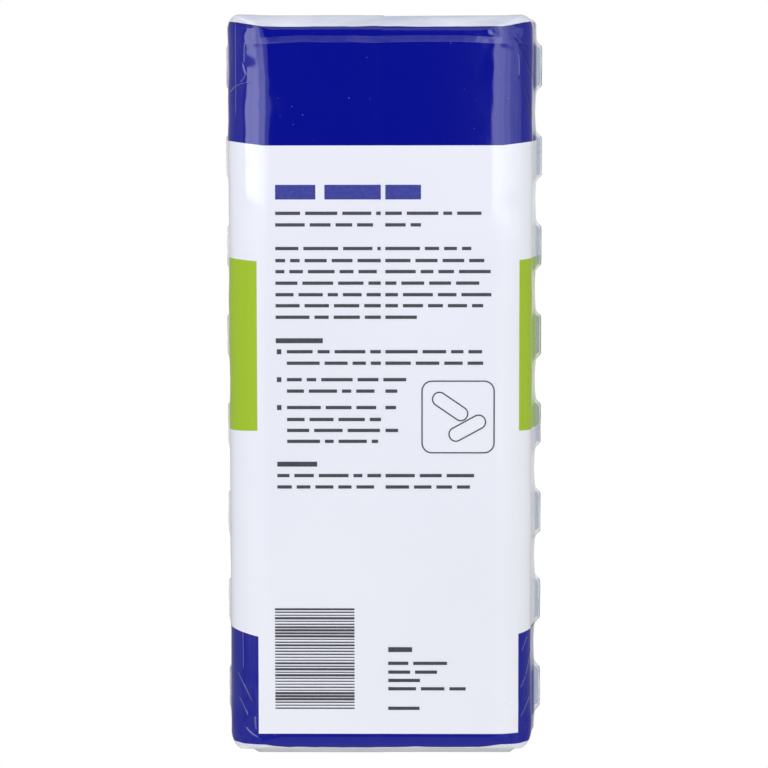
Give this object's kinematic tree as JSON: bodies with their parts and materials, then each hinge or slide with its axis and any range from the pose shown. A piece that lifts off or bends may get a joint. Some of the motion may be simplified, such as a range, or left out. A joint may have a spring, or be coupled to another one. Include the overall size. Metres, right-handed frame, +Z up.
{
  "type": "pill organizer",
  "caption": "Paired pill trays with a hinged, thumb-tabbed lid on every compartment, keyed side by side so that they twist apart, in a printed film wrap.",
  "frame": {"origin": "middle of the base, on the surface that the organizer lies on", "axes": "+X along the trays to the end with the wide printed band, +Y across to the rear tray, +Z up to the lids"},
  "size_m": [0.231, 0.0978, 0.0309],
  "materials": {
    "tray_lilac": "translucent satin",
    "tray_blue": "translucent satin",
    "lid_lilac": "translucent gloss",
    "lid_blue": "translucent gloss",
    "film_print": "glossy printed film"
  },
  "bodies": {
    "front": {"tray_front": "tray_lilac", "film_front": "film_print"},
    "rear": {"tray_rear": "tray_blue", "film_rear": "film_print"},
    "lid_front_1": {"lid_front_1": "lid_lilac"},
    "lid_front_2": {"lid_front_2": "lid_lilac"},
    "lid_front_3": {"lid_front_3": "lid_lilac"},
    "lid_front_4": {"lid_front_4": "lid_lilac"},
    "lid_front_5": {"lid_front_5": "lid_lilac"},
    "lid_front_6": {"lid_front_6": "lid_lilac"},
    "lid_front_7": {"lid_front_7": "lid_lilac"},
    "lid_front_8": {"lid_front_8": "lid_lilac"},
    "lid_rear_1": {"lid_rear_1": "lid_blue"},
    "lid_rear_2": {"lid_rear_2": "lid_blue"},
    "lid_rear_3": {"lid_rear_3": "lid_blue"},
    "lid_rear_4": {"lid_rear_4": "lid_blue"},
    "lid_rear_5": {"lid_rear_5": "lid_blue"},
    "lid_rear_6": {"lid_rear_6": "lid_blue"},
    "lid_rear_7": {"lid_rear_7": "lid_blue"},
    "lid_rear_8": {"lid_rear_8": "lid_blue"}
  },
  "joints": [
    {"name": "detach_twist", "type": "hinge", "parent": "front", "child": "rear", "pos_m": [0.0029, 0, 0.025], "axis": [0, 1, 0], "range_deg": [0, 40]},
    {"name": "lid_front_1_hinge", "type": "hinge", "parent": "front", "child": "lid_front_1", "pos_m": [-0.09405, -0.008, 0.02945], "axis": [-1, 0, 0], "range_deg": [0, 95]},
    {"name": "lid_front_2_hinge", "type": "hinge", "parent": "front", "child": "lid_front_2", "pos_m": [-0.06635, -0.008, 0.02945], "axis": [-1, 0, 0], "range_deg": [0, 95]},
    {"name": "lid_front_3_hinge", "type": "hinge", "parent": "front", "child": "lid_front_3", "pos_m": [-0.03865, -0.008, 0.02945], "axis": [-1, 0, 0], "range_deg": [0, 95]},
    {"name": "lid_front_4_hinge", "type": "hinge", "parent": "front", "child": "lid_front_4", "pos_m": [-0.01095, -0.008, 0.02945], "axis": [-1, 0, 0], "range_deg": [0, 95]},
    {"name": "lid_front_5_hinge", "type": "hinge", "parent": "front", "child": "lid_front_5", "pos_m": [0.01675, -0.008, 0.02945], "axis": [-1, 0, 0], "range_deg": [0, 95]},
    {"name": "lid_front_6_hinge", "type": "hinge", "parent": "front", "child": "lid_front_6", "pos_m": [0.04445, -0.008, 0.02945], "axis": [-1, 0, 0], "range_deg": [0, 95]},
    {"name": "lid_front_7_hinge", "type": "hinge", "parent": "front", "child": "lid_front_7", "pos_m": [0.07215, -0.008, 0.02945], "axis": [-1, 0, 0], "range_deg": [0, 95]},
    {"name": "lid_front_8_hinge", "type": "hinge", "parent": "front", "child": "lid_front_8", "pos_m": [0.09985, -0.008, 0.02945], "axis": [-1, 0, 0], "range_deg": [0, 95]},
    {"name": "lid_rear_1_hinge", "type": "hinge", "parent": "rear", "child": "lid_rear_1", "pos_m": [-0.09405, 0.008, 0.02945], "axis": [1, 0, 0], "range_deg": [0, 95]},
    {"name": "lid_rear_2_hinge", "type": "hinge", "parent": "rear", "child": "lid_rear_2", "pos_m": [-0.06635, 0.008, 0.02945], "axis": [1, 0, 0], "range_deg": [0, 95]},
    {"name": "lid_rear_3_hinge", "type": "hinge", "parent": "rear", "child": "lid_rear_3", "pos_m": [-0.03865, 0.008, 0.02945], "axis": [1, 0, 0], "range_deg": [0, 95]},
    {"name": "lid_rear_4_hinge", "type": "hinge", "parent": "rear", "child": "lid_rear_4", "pos_m": [-0.01095, 0.008, 0.02945], "axis": [1, 0, 0], "range_deg": [0, 95]},
    {"name": "lid_rear_5_hinge", "type": "hinge", "parent": "rear", "child": "lid_rear_5", "pos_m": [0.01675, 0.008, 0.02945], "axis": [1, 0, 0], "range_deg": [0, 95]},
    {"name": "lid_rear_6_hinge", "type": "hinge", "parent": "rear", "child": "lid_rear_6", "pos_m": [0.04445, 0.008, 0.02945], "axis": [1, 0, 0], "range_deg": [0, 95]},
    {"name": "lid_rear_7_hinge", "type": "hinge", "parent": "rear", "child": "lid_rear_7", "pos_m": [0.07215, 0.008, 0.02945], "axis": [1, 0, 0], "range_deg": [0, 95]},
    {"name": "lid_rear_8_hinge", "type": "hinge", "parent": "rear", "child": "lid_rear_8", "pos_m": [0.09985, 0.008, 0.02945], "axis": [1, 0, 0], "range_deg": [0, 95]}
  ]
}
